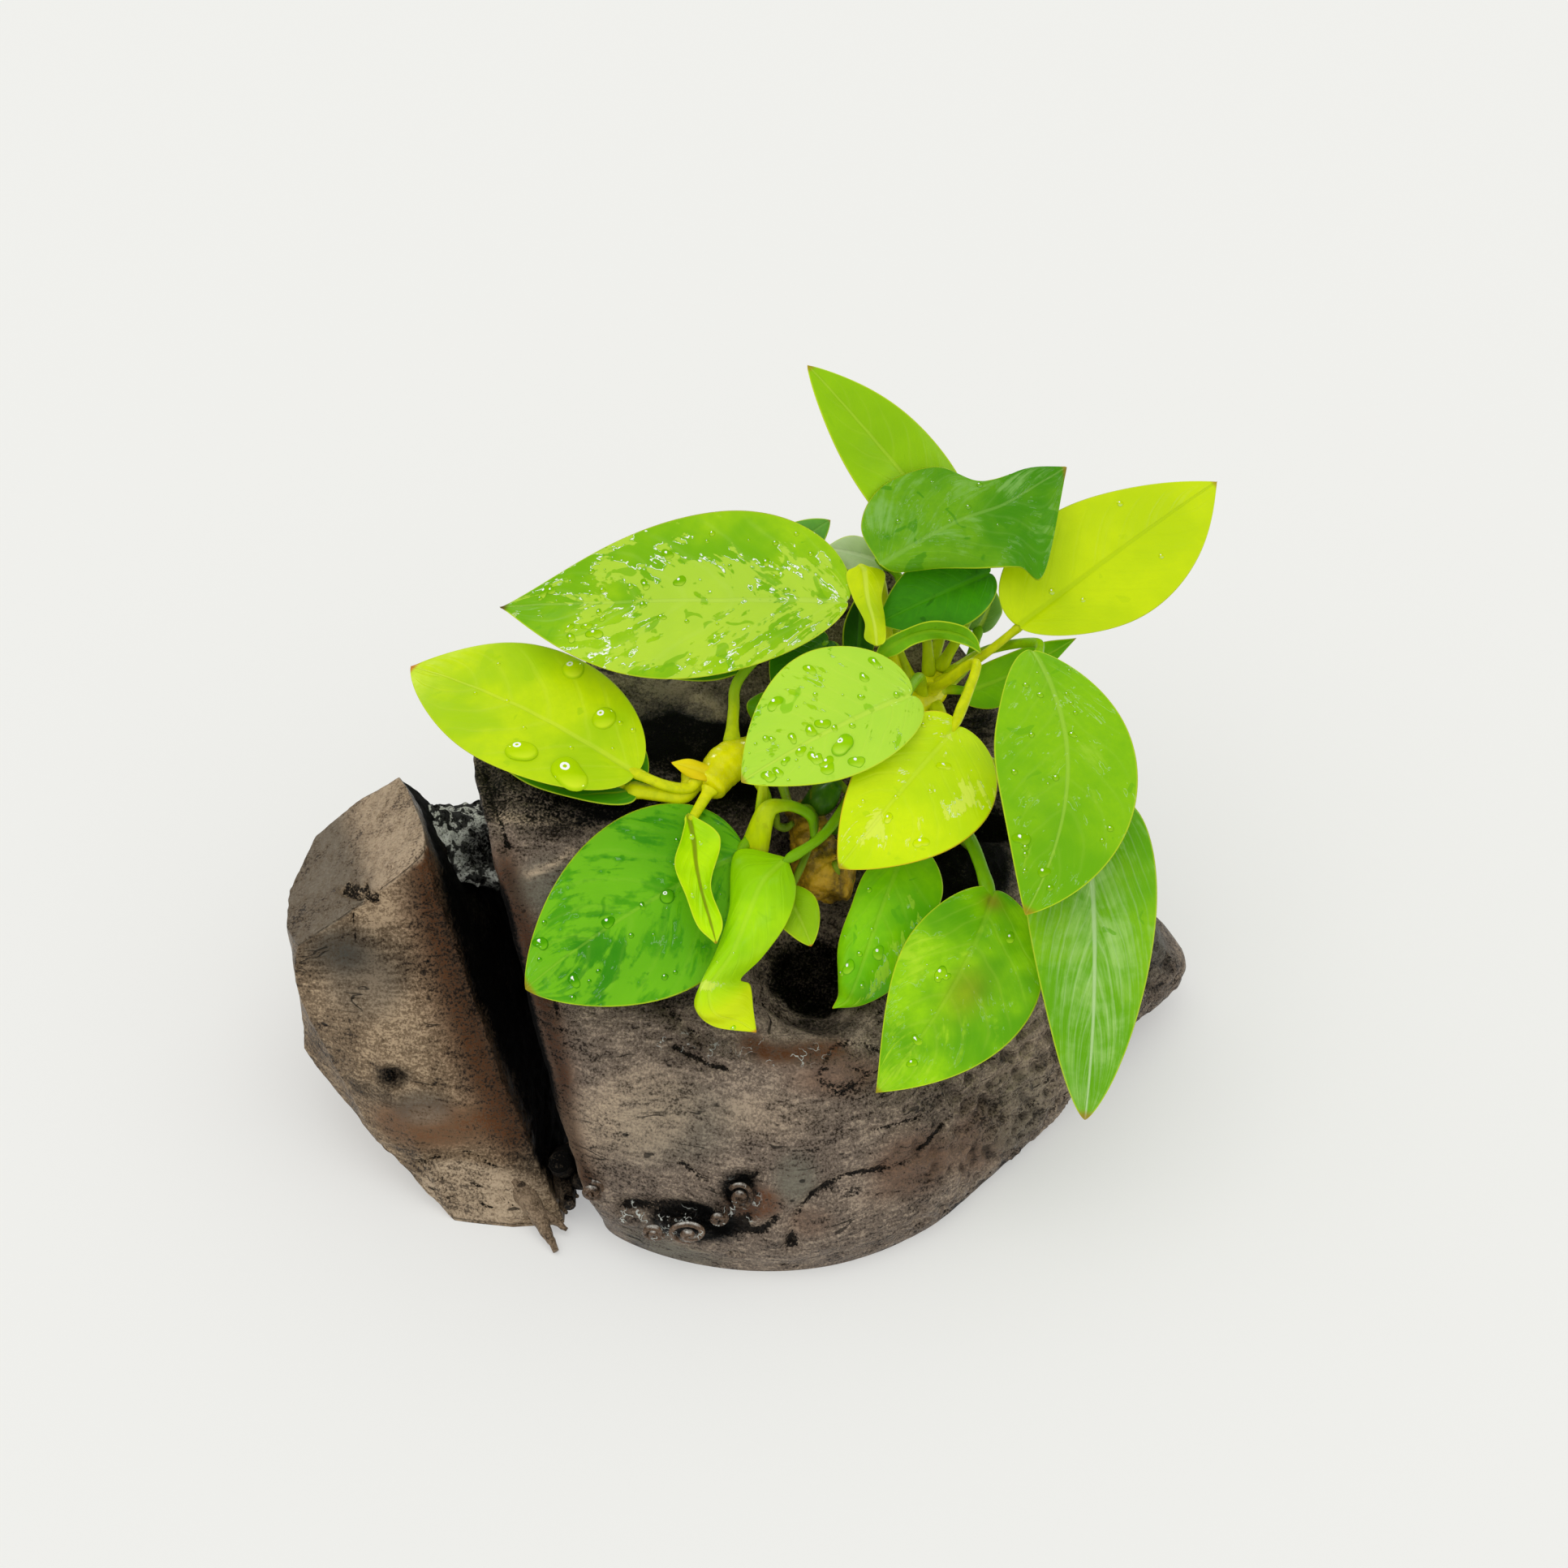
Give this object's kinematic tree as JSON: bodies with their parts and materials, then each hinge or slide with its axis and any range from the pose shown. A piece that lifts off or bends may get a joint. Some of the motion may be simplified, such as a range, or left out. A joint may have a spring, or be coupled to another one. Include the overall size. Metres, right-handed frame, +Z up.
{
  "type": "anubias on driftwood",
  "caption": "Low leafy water plant with ovate leaves on short stalks and a creeping rhizome, grown onto a dark rounded chunk of driftwood that a deep cleft parts from its leaning fork.",
  "frame": {"origin": "on the flat underside of the trunk, left of its middle, below the growing tip of the rhizome", "axes": "+X to the right along the wood's length, +Y to the back, +Z up"},
  "size_m": [0.1594, 0.1125, 0.106],
  "materials": {
    "driftwood": "dark, wet and glossy, with worn paler grain",
    "leaf_green": "wet glossy leaf, mid green",
    "leaf_dark": "wet glossy leaf, dark green",
    "leaf_yellow": "wet glossy leaf, yellow-green",
    "stalk": "smooth, yellow-green",
    "rhizome": "ringed, yellow-green",
    "old_rhizome": "rough, mustard brown"
  },
  "bodies": {
    "root": {"driftwood_trunk": "driftwood", "driftwood_left_fork": "driftwood", "rhizome": "rhizome", "rhizome_old_end": "old_rhizome", "scale_leaf": "leaf_yellow", "root_middle": "stalk", "root_right": "stalk", "leaf_upper_left": "leaf_green", "leaf_left_yellow": "leaf_yellow", "leaf_left_lower": "leaf_green", "leaf_front_left": "leaf_dark", "leaf_front_small": "leaf_yellow", "leaf_centre": "leaf_green", "leaf_centre_yellow": "leaf_yellow", "leaf_right": "leaf_green", "leaf_right_lower": "leaf_green", "leaf_front_right": "leaf_green", "leaf_top": "leaf_green", "leaf_upper_shaded": "leaf_dark", "leaf_right_yellow": "leaf_yellow", "leaf_back_left": "leaf_dark", "leaf_back_pale": "leaf_dark", "leaf_shaded_left": "leaf_dark", "leaf_shaded_small": "leaf_green", "leaf_under_upper_left": "leaf_green", "leaf_shaded_centre": "leaf_dark", "leaf_back_right": "leaf_green", "leaf_upper_folded": "leaf_dark", "leaf_front_folded": "leaf_yellow", "leaf_front_middle": "leaf_dark", "leaf_young_curled": "leaf_yellow", "leaf_yellow_small": "leaf_yellow", "leaf_arched": "leaf_green", "leaf_right_back": "leaf_green", "stalk_upper_left": "stalk", "stalk_left_yellow": "stalk", "stalk_left_lower": "stalk", "stalk_front_left": "stalk", "stalk_front_small": "stalk", "stalk_centre": "stalk", "stalk_centre_yellow": "stalk", "stalk_right": "stalk", "stalk_right_lower": "stalk", "stalk_front_right": "stalk", "stalk_top": "stalk", "stalk_upper_shaded": "stalk", "stalk_right_yellow": "stalk", "stalk_upper_folded": "stalk", "stalk_front_folded": "stalk", "stalk_front_middle": "stalk", "stalk_young_curled": "stalk", "stalk_yellow_small": "stalk", "stalk_arched": "stalk"}
  },
  "joints": []
}
